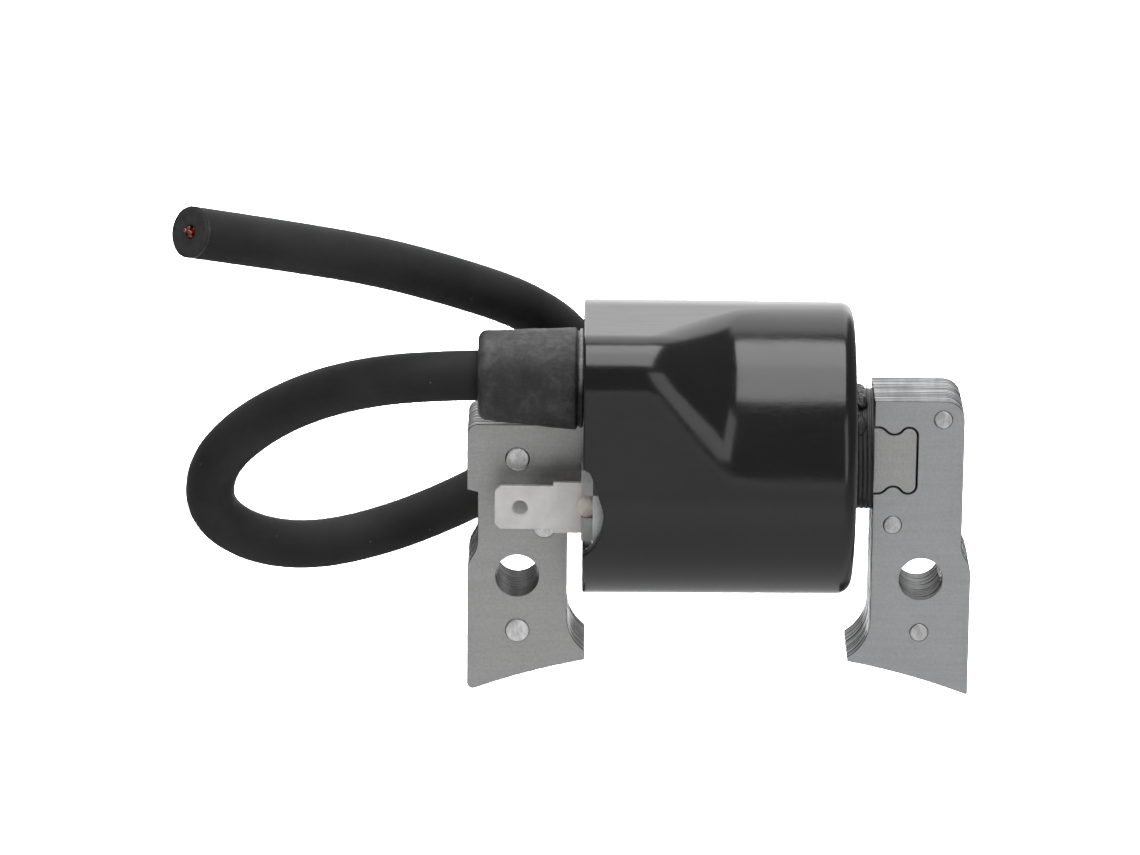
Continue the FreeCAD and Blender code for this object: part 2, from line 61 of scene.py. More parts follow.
camera.matrix_world = Matrix.Translation(camera_target + camera_away * camera_distance) @ camera_turn.to_4x4()
bpy.context.scene.camera = camera


# High-tension lead.
# A 7 mm cable: extruded black rubber over a stranded copper conductor, cut off square.
# It leaves the boot, loops round behind the left leg and comes forward over the top.
def new_material(name, colour, roughness, metallic=0.0):
    """A Principled material; colour, roughness and metallic go straight on its sockets."""
    material = bpy.data.materials.new(name)
    material.use_nodes = True
    shader = material.node_tree.nodes["Principled BSDF"]
    shader.inputs["Base Color"].default_value = (*colour, 1.0)
    shader.inputs["Roughness"].default_value = roughness
    shader.inputs["Metallic"].default_value = metallic
    return material, shader


def add_node(material, kind, **settings):
    """Adds a node; settings named like an attribute set it, the others set the input of that name."""
    node = material.node_tree.nodes.new(kind)
    for key, value in settings.items():
        if hasattr(node, key):
            setattr(node, key, value)
        else:
            node.inputs[key.replace("_", " ")].default_value = value
    return node


def link(material, source, target):
    material.node_tree.links.new(source, target)


def object_noise(material, scale, detail=4.0, roughness=0.6, stretch=(1.0, 1.0, 1.0)):
    """Noise on Object coordinates, its cells drawn out along an axis by a small stretch there."""
    coordinates = add_node(material, "ShaderNodeTexCoord")
    mapping = add_node(material, "ShaderNodeMapping")
    mapping.inputs["Scale"].default_value = stretch
    noise = add_node(material, "ShaderNodeTexNoise", Scale=scale, Detail=detail, Roughness=roughness)
    link(material, coordinates.outputs["Object"], mapping.inputs["Vector"])
    link(material, mapping.outputs["Vector"], noise.inputs["Vector"])
    return noise.outputs["Fac"]


def ramp(material, value, stops):
    """Colour ramp through (position, grey or colour) stops."""
    node = add_node(material, "ShaderNodeValToRGB")
    link(material, value, node.inputs["Fac"])
    elements = node.color_ramp.elements
    while len(elements) < len(stops):
        elements.new(0.5)
    for element, (position, colour) in zip(elements, stops):
        element.position = position
        rgb = colour if isinstance(colour, tuple) else (colour, colour, colour)
        element.color = (*rgb, 1.0)
    return node.outputs["Color"]


def bump(material, shader, height, distance, strength=1.0, below=None):
    """Bump from a height, in metres at full strength, laid over another bump when given."""
    node = add_node(material, "ShaderNodeBump", Strength=strength, Distance=distance)
    link(material, height, node.inputs["Height"])
    if below is not None:
        link(material, below, node.inputs["Normal"])
    link(material, node.outputs["Normal"], shader.inputs["Normal"])
    return node.outputs["Normal"]


def blended(material, share, under, over, how="MIX"):
    """Colour that goes from under to over by a share; each is another node's output or a plain value."""
    node = add_node(material, "ShaderNodeMix", data_type="RGBA", blend_type=how)
    for key, value in (("Factor", share), ("A", under), ("B", over)):
        if isinstance(value, bpy.types.NodeSocket):
            link(material, value, node.inputs[key])
        else:
            node.inputs[key].default_value = value
    return node.outputs["Result"]


lead_route = [
    (-0.0154, -0.0126, 0.0299),
    (-0.0260, -0.0126, 0.0299),
    (-0.0370, -0.0126, 0.0298),
    (-0.0480, -0.0116, 0.0287),
    (-0.0580, -0.0070, 0.0246),
    (-0.0665, -0.0015, 0.0182),
    (-0.0720, 0.0045, 0.0105),
    (-0.0725, 0.0095, 0.0022),
    (-0.0670, 0.0130, -0.0032),
    (-0.0585, 0.0155, -0.0052),
    (-0.0485, 0.0180, -0.0038),
    (-0.0380, 0.0205, -0.0003),
    (-0.0280, 0.0230, 0.0046),
    (-0.0205, 0.0245, 0.0112),
    (-0.0180, 0.0235, 0.0190),
    (-0.0215, 0.0190, 0.0262),
    (-0.0275, 0.0105, 0.0330),
    (-0.0360, 0.0005, 0.0390),
    (-0.0470, -0.0125, 0.0460),
    (-0.0595, -0.0255, 0.0520),
    (-0.0718, -0.0375, 0.0573),
]
lead_radius = 3.5 * MM
lead_curve = bpy.data.curves.new("ht_lead_sheath", "CURVE")
lead_curve.dimensions = "3D"
lead_spline = lead_curve.splines.new("NURBS")
lead_spline.points.add(len(lead_route) - 1)
for point, place in zip(lead_spline.points, lead_route):
    point.co = (*place, 1.0)
lead_spline.order_u = 3
lead_spline.use_endpoint_u = True
lead_spline.resolution_u = 16
lead_curve.bevel_depth = lead_radius
lead_curve.bevel_resolution = 10
lead = bpy.data.objects.new("ht_lead_sheath", lead_curve)
bpy.context.scene.collection.objects.link(lead)

lead_rubber, lead_shader = new_material("lead_rubber", (0.022, 0.022, 0.023), 0.5)
lead_curve.materials.append(lead_rubber)

# Cut end of the lead.
# A knife cut across the rubber: a flat, faintly torn face with a worn rim, and a small
# round hole where the copper lies, its strands standing just proud.
def ring_mesh(name, rings, looped=False):
    """Quads between neighbouring rings of places, an array (rings, points, 3), each closed on itself.

    The last ring is joined to the first when looped, and otherwise both are filled in."""
    count, points = rings.shape[:2]
    index = np.arange(count * points).reshape(count, points)
    over = index if looped else index[:-1]
    down = np.roll(index, -1, 0) if looped else index[1:]
    faces = np.stack([over, np.roll(over, -1, 1), np.roll(down, -1, 1), down], -1).reshape(-1, 4).tolist()
    if not looped:
        faces += [index[0][::-1].tolist(), index[-1].tolist()]
    mesh = bpy.data.meshes.new(name)
    mesh.from_pydata(rings.reshape(-1, 3).tolist(), [], faces)
    mesh.polygons.foreach_set("use_smooth", np.full(len(faces), True))
    mesh.update()
    piece = bpy.data.objects.new(name, mesh)
    bpy.context.scene.collection.objects.link(piece)
    return piece


def shown(piece, material, nodes=()):
    """Gives a new piece its material, parents it to the root body and hides the CAD nodes it stands for."""
    piece.data.materials.append(material)
    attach(piece, "root")
    if nodes:
        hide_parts(*nodes)
    return piece


def lathe(name, stations, start, along, turns, wobble=None, looped=True):
    """Profile of (distance along, radius) pairs, in millimetres, turned about a line from its start.

    Wobble scales the radius by angle. A looped profile is joined end to end and makes a tube's wall."""
    along = np.array(along) / np.linalg.norm(along)
    side = np.cross(along, (0.0, 0.0, 1.0))
    side /= np.linalg.norm(side)
    up = np.cross(side, along)
    angle = np.linspace(0, 2 * np.pi, turns, endpoint=False)
    distance, radius = np.array(stations, float).T * MM
    spread = np.ones((len(radius), turns)) if wobble is None else wobble(distance[:, None], angle[None, :])
    ring = np.cos(angle)[:, None] * side + np.sin(angle)[:, None] * up
    places = (np.array(start) + distance[:, None, None] * along
              + (radius[:, None] * spread)[:, :, None] * ring[None])
    return ring_mesh(name, places[:, ::-1], looped)


lead_end = np.array(lead_route[-1])
lead_aim = lead_end - np.array(lead_route[-2])
lead_aim /= np.linalg.norm(lead_aim)


def cut_wobble(distance, angle):
    """Radius times one plus two slow waves of a few thousandths, the same all along."""
    return 1 + 0.006 * np.sin(2 * angle + 0.7) + 0.004 * np.sin(5 * angle) + 0 * distance


cut_profile = [(-0.6, 3.48), (-0.3, 3.505), (-0.12, 3.47), (-0.02, 3.36), (0.03, 3.15), (0.02, 2.6),
               (-0.02, 2.1), (-0.03, 1.6), (-0.02, 1.15), (-0.08, 0.95), (-0.3, 0.86),
               (-1.2, 0.85), (-1.2, 0.01)]
cut_face = lathe("ht_lead_cut_face", cut_profile, lead_end, lead_aim, 72, cut_wobble, looped=False)
cut_rubber, cut_shader = new_material("cut_rubber", (0.05, 0.05, 0.05), 0.6)
cut_grain = object_noise(cut_rubber, 900.0, 6.0, 0.7)
link(cut_rubber, ramp(cut_rubber, cut_grain, [(0.3, 0.018), (0.7, 0.045)]), cut_shader.inputs["Base Color"])
bump(cut_rubber, cut_shader, cut_grain, 0.00012, 0.6)
shown(cut_face, cut_rubber)


def strand_bundle():
    """Seven wires: one straight in the middle and six in a helix round it, their ends cut unevenly."""
    wire_radius = 0.26 * MM
    lay_radius = 0.54 * MM
    twist = 260.0
    buried = 1.0 * MM
    side = np.cross(lead_aim, (0.0, 0.0, 1.0))
    side /= np.linalg.norm(side)
    up = np.cross(side, lead_aim)
    turn = np.linspace(0, 2 * np.pi, 14, endpoint=False)
    ring = np.cos(turn)[:, None] * side + np.sin(turn)[:, None] * up
    parts = []
    for number in range(7):
        reach = (0.1 + 0.42 * math.sin(2.3 * number + 0.5)) * MM
        steps = np.linspace(-buried, reach, 12)
        away = 0.0 if number == 0 else lay_radius
        lean = number * math.pi / 3 + steps * twist
        middle = (lead_end + steps[:, None] * lead_aim
                  + away * (np.cos(lean)[:, None] * side + np.sin(lean)[:, None] * up))
        taper = np.where(steps > reach - 0.05 * MM, 0.8, 1.0) * wire_radius
        places = middle[:, None] + taper[:, None, None] * ring[None]
        parts.append(ring_mesh("strand", places[:, ::-1]))
    return joined("ht_lead_strands", parts)


def joined(name, parts):
    """Joins pieces into one object of that name."""
    bpy.ops.object.select_all(action="DESELECT")
    for part in parts:
        part.select_set(True)
    bpy.context.view_layer.objects.active = parts[0]
    bpy.ops.object.join()
    parts[0].name = name
    parts[0].data.name = name
    return parts[0]


bare_copper, copper_shader = new_material("bare_copper", (0.72, 0.32, 0.16), 0.32, 1.0)
copper_tone = object_noise(bare_copper, 1500.0)
link(bare_copper, ramp(bare_copper, copper_tone, [(0.3, (0.22, 0.06, 0.03)), (0.7, (0.62, 0.24, 0.15))]),
     copper_shader.inputs["Base Color"])
strands = shown(strand_bundle(), bare_copper, ["ht_lead_conductor"])

# Rubber of the lead: dull extruded black, fine drawn grain and a few specks of dust.
fine = object_noise(lead_rubber, 1400.0, 5.0, 0.65)
patches = object_noise(lead_rubber, 90.0, 3.0, 0.5)
dust_cells = add_node(lead_rubber, "ShaderNodeTexVoronoi", Scale=330.0)
dust_coordinates = add_node(lead_rubber, "ShaderNodeTexCoord")
link(lead_rubber, dust_coordinates.outputs["Object"], dust_cells.inputs["Vector"])
dust = ramp(lead_rubber, dust_cells.outputs["Distance"], [(0.0, 1.0), (0.035, 0.7), (0.05, 0.0)])
tone = ramp(lead_rubber, patches, [(0.35, 0.029), (0.65, 0.038)])
dusted = blended(lead_rubber, dust, tone, (0.11, 0.11, 0.11, 1.0))
link(lead_rubber, dusted, lead_shader.inputs["Base Color"])
link(lead_rubber, ramp(lead_rubber, fine, [(0.2, 0.55), (0.8, 0.72)]), lead_shader.inputs["Roughness"])
lead_shader.inputs["Specular IOR Level"].default_value = 0.08
bump(lead_rubber, lead_shader, fine, 0.00004, 0.5)

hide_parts("ht_lead_jacket")
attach(lead, "root")

# Laminated core.
# Sixteen punched sheets of electrical steel riveted into each stack: the left leg with the
# bar through the coil, and the right leg pressed onto the bar's wavy tongue.
SHEETS = 16
sheet_bevel = 0.13 * MM
sheet_groove = 0.13 * MM
face_bevel = 0.09 * MM
joint_gap = 0.075 * MM
hole_centre_x = 28.25 * MM
hole_radius = 3.1 * MM
end_depth = 0.01 * MM
shake = np.random.default_rng(7)


def node_places(node):
    """A CAD node's points as rows of X, Y and Z."""
    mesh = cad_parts[node].data
    places = np.zeros(len(mesh.vertices) * 3)
    mesh.vertices.foreach_get("co", places)
    return places.reshape(-1, 3)


def front_outline(node):
    """Welded points, triangles and directed rim edges of a CAD node's face of lowest Y."""
    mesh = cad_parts[node].data
    mesh.calc_loop_triangles()
    corners = np.zeros(len(mesh.loop_triangles) * 3, int)
    mesh.loop_triangles.foreach_get("vertices", corners)
    places, welded = np.unique(np.round(node_places(node), 6), axis=0, return_inverse=True)
    triangles = welded.reshape(-1)[corners].reshape(-1, 3)
    in_face = np.all(places[triangles][:, :, 1] < places[:, 1].min() + end_depth, axis=1)
    used, triangles = np.unique(triangles[in_face], return_inverse=True)
    triangles = triangles.reshape(-1, 3)
    edges = np.concatenate([triangles[:, [0, 1]], triangles[:, [1, 2]], triangles[:, [2, 0]]])
    count = len(used)
    codes = edges[:, 0] * count + edges[:, 1]
    rim = edges[~np.isin(edges[:, 1] * count + edges[:, 0], codes)]
    return places[used], triangles, rim


def rim_normals(places, rim):
    """Outward direction in XZ at each rim point: the mean of its two edges' normals, longer at a corner."""
    along = (places[rim[:, 1]] - places[rim[:, 0]])[:, [0, 2]]
    along /= np.linalg.norm(along, axis=1)[:, None]
    outward = np.stack([along[:, 1], -along[:, 0]], 1)
    total = np.zeros((len(places), 2))
    np.add.at(total, rim[:, 0], outward)
    np.add.at(total, rim[:, 1], outward)
    length = np.linalg.norm(total, axis=1)
    length[length < 1e-9] = 1.0
    return total / length[:, None] * np.clip(2 / length, 1, 1.6)[:, None]


def rivet_layout(node):
    """Centres in XZ and radius of a CAD node's rivets, from the ring of points at each one's rear end."""
    places = node_places(node)
    back = places[places[:, 1] > places[:, 1].max() - end_depth][:, [0, 2]]
    near = np.linalg.norm(back[:, None] - back[None], axis=2) < 4 * MM
    centres = np.unique(np.round(near @ back / near.sum(1)[:, None], 5), axis=0)
    return centres, np.linalg.norm(back[:, None] - centres[None], axis=2).min(1).max()


def laminated_stack(name, node, painted_hole_light):
    """Outline of a stack's front face carried back through sixteen sheets, four rings to a sheet.

    Each ring lies inside the outline by the sheet's bevel or groove. The reamed mounting hole has only a
    faint groove, and the sheets close in tightly on the rivets. A face attribute holds each sheet's random
    tone on its cut edge with painted shade laid in, darker on walls that do not face up and 0 on the bevels
    and groove walls, a painted reflection fading to painted shade on the hole's walls, and -1 on the
    stack's two faces."""
    places, triangles, rim = front_outline(node)
    outward = rim_normals(places, rim)
    across = places[:, [0, 2]]
    centres, rivet_radius = rivet_layout(node.replace("stack", "rivets"))
    at_rivet = np.linalg.norm(across[:, None] - centres[None], axis=2).min(1) < 1.1 * rivet_radius
    at_hole = np.linalg.norm(np.abs(across) - (hole_centre_x, 0.0), axis=1) < 1.1 * hole_radius
    depth_share = np.select([at_hole, at_rivet], [0.25, 0.4], 1.0)
    draw_in = np.select([at_hole, at_rivet], [-0.03 * MM, -0.035 * rivet_radius], joint_gap)
    # Painted shade on the cut edges: walls that face sideways or down keep 0.45 of their sheet's tone, and
    # walls facing up keep all of it.
    upward = outward[rim].mean(1)[:, 1].clip(0, 1)
    painted_side_shade = 0.45 + 0.55 * upward
    low, high = (corner.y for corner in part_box(node))
    pitch = (high - low) / SHEETS
    rings, tones = [], []
    for sheet in range(SHEETS):
        start = low + sheet * pitch
        end = start + pitch
        inner = 0 < sheet < SHEETS - 1
        slip = shake.normal(0, 0.022 * MM, 2) * inner
        grow = shake.uniform(-0.02, 0.0) * MM * inner
        first_edge = (face_bevel, face_bevel) if sheet == 0 else (sheet_bevel, sheet_groove)
        last_edge = (face_bevel, face_bevel) if sheet == SHEETS - 1 else (sheet_bevel, sheet_groove)
        for y, inset in ((start, first_edge[1]), (start + first_edge[0], -grow),
                         (end - last_edge[0], -grow), (end, last_edge[1])):
            flat = across - outward * (inset * depth_share + draw_in)[:, None] + slip
            rings.append(np.stack([flat[:, 0], np.full(len(flat), y), flat[:, 1]], 1))
        # Only each sheet's main cut edge gets its own random tone; its bevels and the groove walls get 0, a
        # painted shade in the grooves.
        tones += [0.0, shake.uniform(0.35, 1), 0.0, 0.0]
    rings = np.array(rings)
    count = len(places)
    step = np.arange(len(rings) - 1)[:, None] * count
    near, far = rim[:, 0] + step, rim[:, 1] + step
    walls = np.stack([far, near, near + count, far + count], -1)
    back = triangles[:, ::-1] + (len(rings) - 1) * count
    faces = triangles.tolist() + walls.reshape(-1, 4).tolist() + back.tolist()
    mesh = bpy.data.meshes.new(name)
    mesh.from_pydata(rings.reshape(-1, 3).tolist(), [], faces)
    tone = mesh.attributes.new("sheet_tone_and_shade", "FLOAT", "FACE")
    # Each cut edge's tone is its sheet's random tone times the painted side shade.
    wall_tones = np.array(tones)[:-1, None] * painted_side_shade
    # Painted reflection and shade in the mounting hole: its walls are lightest on the left side and fall to
    # 0.15 of that on the right, times 0.75 to 1.25 by their sheet's tone.
    in_hole = at_hole[rim[:, 0]]
    around = (across[rim[:, 0], 0] - across[at_hole, 0].mean()) / hole_radius
    painted_hole_reflection = painted_hole_light * (1.0 - 0.85 * np.clip(around + 0.5, 0, 1))
    wall_tones[:, in_hole] = painted_hole_reflection[in_hole] * (0.75 + 0.5 * np.array(tones)[:-1, None])
    blank = np.full(len(triangles), -1.0)
    tone.data.foreach_set("value", np.concatenate([blank, wall_tones.reshape(-1), blank]))
    mesh.update()
    piece = bpy.data.objects.new(name, mesh)
    bpy.context.scene.collection.objects.link(piece)
    return piece


def lamination_steel(name, tint, light, dark):
    """Ground sheet steel: cloudy grey on the faces, and on each sheet's cut edge its own tone with the
    painted shade that the stack's attribute carries.
    """
    def tinted(value):
        return tuple(value * share for share in tint)

    material, shader = new_material(name, (light, light, light), 0.4, 0.85)
    clouds = object_noise(material, 160.0, 6.0, 0.7)
    grain = object_noise(material, 2400.0, 8.0, 0.85)
    brush = object_noise(material, 1500.0, 5.0, 0.7, stretch=(0.05, 1.0, 1.0))
    face = blended(material, 1.0, ramp(material, clouds, [(0.3, 0.95), (0.7, 1.0)]),
                   ramp(material, grain, [(0.3, tinted(dark)), (0.7, tinted(light))]), "MULTIPLY")
    face = blended(material, 1.0, face, ramp(material, brush, [(0.35, 0.9), (0.65, 0.98)]), "MULTIPLY")
    sheet = add_node(material, "ShaderNodeAttribute", attribute_name="sheet_tone_and_shade")
    cut = object_noise(material, 500.0, 3.0, 0.6, stretch=(1.0, 0.12, 1.0))
    lines = object_noise(material, 2600.0, 2.0, 0.5, stretch=(0.05, 1.0, 0.05))
    # Cut edges: the attribute's 0, the painted shade of bevels and grooves, goes nearly black, and its full
    # tone reaches the faces' light grey.
    edge = ramp(material, sheet.outputs["Fac"], [(0.0, tinted(dark * 0.18)), (1.0, tinted(light))])
    edge = blended(material, 1.0, edge, ramp(material, lines, [(0.35, 0.7), (0.6, 1.0)]), "MULTIPLY")
    edge = blended(material, 0.7, edge, ramp(material, cut, [(0.35, 0.55), (0.6, 1.0)]), "MULTIPLY")
    is_edge = add_node(material, "ShaderNodeMath", operation="GREATER_THAN")
    link(material, sheet.outputs["Fac"], is_edge.inputs[0])
    is_edge.inputs[1].default_value = -0.5
    colour = blended(material, is_edge.outputs["Value"], face, edge)
    link(material, colour, shader.inputs["Base Color"])
    link(material, ramp(material, grain, [(0.25, 0.36), (0.75, 0.52)]), shader.inputs["Roughness"])
    bump(material, shader, grain, 0.00003, 0.5)
    return material


left_steel = lamination_steel("lamination_steel", (1.0, 0.998, 0.994), 0.56, 0.37)
right_steel = lamination_steel("lamination_steel_bluish", (0.98, 0.992, 1.008), 0.55, 0.39)
# The last argument is the brightness of the painted reflection in each stack's mounting hole.
left_sheets = laminated_stack("left_core_laminations", "left_core_stack", 0.2)
shown(left_sheets, left_steel, ["left_core_stack"])
right_sheets = laminated_stack("right_pole_laminations", "right_pole_stack", 0.4)
shown(right_sheets, right_steel, ["right_pole_stack"])

# Rivets.
# Soft steel pins through each stack, set flush and ground with it: a swirl of grinding
# marks on each head and a dark ring where it has spread in its hole.
def rivet_row(name, node, spread, seed):
    """Both heads of each rivet: a disc whose height is a low dome, its rim rolled over and ragged."""
    rear_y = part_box(node)[1].y
    front_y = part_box(node.replace("rivets", "stack"))[0].y
    centres, radius = rivet_layout(node)
    chipped = centres[np.argmax(centres[:, 1] - centres[:, 0])]
    ragged = np.random.default_rng(seed)
    angle = np.linspace(0, 2 * np.pi, 72, endpoint=False)
    share = np.array([1.0, 0.995, 0.96, 0.9, 0.78, 0.55, 0.3, 0.01])
    rise = np.array([-0.12, 0.03, 0.1, 0.13, 0.15, 0.17, 0.19, 0.2]) * MM
    parts = []
    for x, z in centres:
        waves = sum(ragged.uniform(-1, 1) * np.sin(k * angle + ragged.uniform(0, 6.3)) / k
                    for k in range(2, 8))
        rim = radius * (spread + 0.01 * waves * (7.0 if x == chipped[0] else 1.0))
        pits = ragged.normal(0, 0.008 * MM, (len(share), len(angle)))
        head = np.stack([x + share[:, None] * rim * np.cos(angle),
                         front_y - rise[:, None] - pits,
                         z + share[:, None] * rim * np.sin(angle)], -1)
        foot = head[::-1].copy()
        foot[:, :, 1] = rear_y + (rise[::-1, None] * 0.05) - 0.02 * MM
        parts.append(ring_mesh("rivet", np.concatenate([foot, head])))
    return joined(name, parts)


def rivet_metal(name, dark, light):
    """Soft steel, its two tones swirled by grinding in fine short scratches."""
    material, shader = new_material(name, (light, light, light), 0.38, 0.9)
    swirl = object_noise(material, 1300.0, 8.0, 0.8, stretch=(1.0, 1.0, 0.5))
    link(material, ramp(material, swirl, [(0.36, dark), (0.66, light)]), shader.inputs["Base Color"])
    link(material, ramp(material, swirl, [(0.3, 0.45), (0.7, 0.3)]), shader.inputs["Roughness"])
    bump(material, shader, swirl, 0.00008, 0.6)
    return material


left_rivets = rivet_row("left_core_rivet_heads", "left_core_rivets", 0.935, 3)
shown(left_rivets, rivet_metal("rivet_steel_bright", 0.5, 0.95), ["left_core_rivets"])
right_rivets = rivet_row("right_pole_rivet_heads", "right_pole_rivets", 0.92, 5)
shown(right_rivets, rivet_metal("rivet_steel", 0.38, 0.74), ["right_pole_rivets"])

# Coil case.
# Glossy black moulded cup round the windings: a cylinder whose upper front corner swells
# into a squared bulge for the lead's contact, cut back to the round by a cone.
axis_y, axis_z = -5.6 * MM, 17.45 * MM
case_radius = 20.5 * MM
rim_x, case_end_x = -19.2 * MM, 18.4 * MM
end_fillet = 2.0 * MM
corner_radius = 6.5 * MM
corner_centre = case_radius - corner_radius
bulge_end_x = 1.4 * MM
wall = 1.3 * MM
cup_floor_x = case_end_x - 1.6 * MM
lip = 0.3 * MM
straight_x = -11.0 * MM
boss_hole_radius = 8.2 * MM
draft_slope = 0.0035
cone_slope, corner_extra_slope, corner_spread = 0.49, 0.1, 0.22
cone_lean = 1.7 * MM
ridge_rounding = 1.15 * MM
merge_width = 1.8 * MM
dip_height, dip_depth = 13.8 * MM, 2.85 * MM
dip_above, dip_below = 6.7 * MM, 6.6 * MM


def bulge_rise(angle):
    """How far a square of the case's half width, its corner rounded, stands outside the circle."""
    both = np.cos(angle) + np.sin(angle)
    inside = (corner_centre * both) ** 2 - (2 * corner_centre ** 2 - corner_radius ** 2)
    rounded = corner_centre * both + np.sqrt(np.maximum(inside, 0))
    flat = case_radius / np.maximum(np.maximum(np.cos(angle), np.sin(angle)), 0.5)
    slope = np.tan(np.clip(angle, 0.01, np.pi / 2 - 0.01))
    edge = corner_centre / case_radius
    radius = np.where((slope > edge) & (slope < 1 / edge), rounded, flat)
    within = (angle > 0) & (angle < np.pi / 2)
    return np.where(within, radius - case_radius, 0.0).clip(0)


def soft_least(first, second, blend):
    """The smaller of two heights, rounded over where they are within a blend of each other."""
    blend = np.maximum(blend, 1e-9)
    near = np.maximum(blend - np.abs(first - second), 0) / blend
    return np.minimum(first, second) - near ** 2 * blend / 4


def case_outside(x, angle):
    """Radius of the case: the circle, the lesser of the squared bulge and the cone that ends it, the
    mould's draft and two faint ripples.

    The cone rises with the distance ahead of where the bulge ends, a little more steeply at the corner."""
    ahead = bulge_end_x - cone_lean * np.clip(0.87 - angle, 0, 1) - x
    slope = cone_slope + corner_extra_slope * np.exp(-((angle - np.pi / 4) / corner_spread) ** 2)
    cone = slope * 0.5 * (ahead + np.sqrt(ahead ** 2 + ridge_rounding ** 2))
    square = bulge_rise(angle)
    shared = cone * square / (cone + square + 1e-9)
    blend = merge_width * np.tanh(2.7 * shared / merge_width)
    ripple = 0.012 * MM * np.sin(3 * angle + x * 90) + 0.008 * MM * np.sin(7 * angle - x * 160)
    return case_radius + soft_least(cone, square, blend).clip(0) - draft_slope * x + ripple


def rim_place(angle):
    """X of the rim at an angle: straight, but in front it dips round the terminal, blunt at the top."""
    height = axis_z + case_radius * np.sin(angle)
    upper = np.clip((height - dip_height) / dip_above, 0, 1)
    lower = np.clip((dip_height - height) / dip_below, 0, 1)
    slant = (1 - 0.8 * upper ** 2 / (upper + 0.15)) * (1 - upper ** 30)
    dip = np.where(height > dip_height, slant, (1 - lower ** 2) ** 0.75)
    return rim_x + np.where(np.cos(angle) > 0, dip, 0.0) * dip_depth


def case_mesh():
    """Rings of (x, radius) by angle: out of the mouth over the rounded rim, along the outside, round the
    end, in to the boss, and back along the inner wall, which closes the shell."""
    angle = np.linspace(-np.pi, np.pi, 480, endpoint=False)
    rim = rim_place(angle)
    outside = case_outside(rim, angle)
    quarter = np.linspace(0, np.pi / 2, 6)
    rings = []
    for x in (-14.5 * MM, -16.2 * MM):
        x = np.maximum(x, rim + 2 * lip)
        rings.append((x, case_outside(x, angle) - wall))
    for turn in quarter:
        rings.append((rim + lip * (1 - math.sin(turn)), outside - wall + lip * (1 - math.cos(turn))))
    for turn in quarter[::-1]:
        rings.append((rim + lip * (1 - math.sin(turn)), outside - lip * (1 - math.cos(turn))))
    for share in np.linspace(0, 1, 44)[1:]:
        x = (rim + lip) * (1 - share) + straight_x * share
        rings.append((x, case_outside(x, angle)))
    for x in np.linspace(straight_x, case_end_x - end_fillet, 110)[1:]:
        rings.append((x, case_outside(x, angle)))
    shoulder = case_outside(case_end_x - end_fillet, angle) - end_fillet
    for turn in np.linspace(0, np.pi / 2, 14)[1:]:
        rings.append((case_end_x - end_fillet * (1 - math.sin(turn)), shoulder + end_fillet * math.cos(turn)))
    for share in (0.2, 0.5, 0.8, 1.0):
        hollow = 0.05 * MM * math.sin(share * math.pi)
        rings.append((case_end_x - hollow, shoulder * (1 - share) + boss_hole_radius * share))
    rings.append((cup_floor_x, boss_hole_radius))
    for x in np.linspace(cup_floor_x, straight_x, 7):
        rings.append((x, case_outside(x, angle) - wall))
    x, radius = np.moveaxis(np.array([np.broadcast_arrays(*ring, angle)[:2] for ring in rings]), 1, 0)
    places = np.stack([x, axis_y - radius * np.cos(angle), axis_z + radius * np.sin(angle)], -1)
    return ring_mesh("coil_case_shell", places[:, ::-1], looped=True)


case_plastic, case_shader = new_material("case_plastic", (0.008, 0.008, 0.008), 0.11)
moulding = object_noise(case_plastic, 55.0, 2.0, 0.5)
scuffs = object_noise(case_plastic, 420.0, 6.0, 0.75, stretch=(0.25, 1.0, 1.0))
link(case_plastic, ramp(case_plastic, moulding, [(0.3, 0.0045), (0.7, 0.0075)]),
     case_shader.inputs["Base Color"])
link(case_plastic, ramp(case_plastic, scuffs, [(0.3, 0.14), (0.55, 0.19), (0.8, 0.3)]),
     case_shader.inputs["Roughness"])
case_waves = bump(case_plastic, case_shader, moulding, 0.00006, 0.5)
bump(case_plastic, case_shader, scuffs, 0.00003, 0.5, below=case_waves)
shown(case_mesh(), case_plastic, ["coil_case"])

# Boss at the case's end.
# The bobbin's tube reaches through the end of the case to the right leg; the resin that
# sealed it has run out round the top and set in lumps.
bobbin_plastic, bobbin_shader = new_material("bobbin_plastic", (0.012, 0.012, 0.012), 0.42)
bobbin_grain = object_noise(bobbin_plastic, 800.0, 6.0, 0.7)
link(bobbin_plastic, ramp(bobbin_plastic, bobbin_grain, [(0.3, 0.008), (0.7, 0.022)]),
     bobbin_shader.inputs["Base Color"])
link(bobbin_plastic, ramp(bobbin_plastic, bobbin_grain, [(0.3, 0.3), (0.7, 0.55)]),
     bobbin_shader.inputs["Roughness"])
bump(bobbin_plastic, bobbin_shader, bobbin_grain, 0.00005, 0.7)


def collar_wobble(distance, angle):
    """Radius times one plus small ridges that wander a little round the tube."""
    return 1 + 0.005 * np.sin(distance / (0.1 * MM) + np.sin(2 * angle)) + 0.002 * np.sin(9 * angle)


collar_steps = np.linspace(-0.9, 2.75, 56)
collar_profile = [(d, 8.45 + 0.25 * math.exp(-((d + 0.1) / 0.35) ** 2)) for d in collar_steps]
collar_profile += [(2.75, 8.0), (-0.9, 8.0)]
collar = lathe("bobbin_boss", collar_profile, (case_end_x, axis_y, axis_z), (1, 0, 0), 120, collar_wobble)
shown(collar, bobbin_plastic)


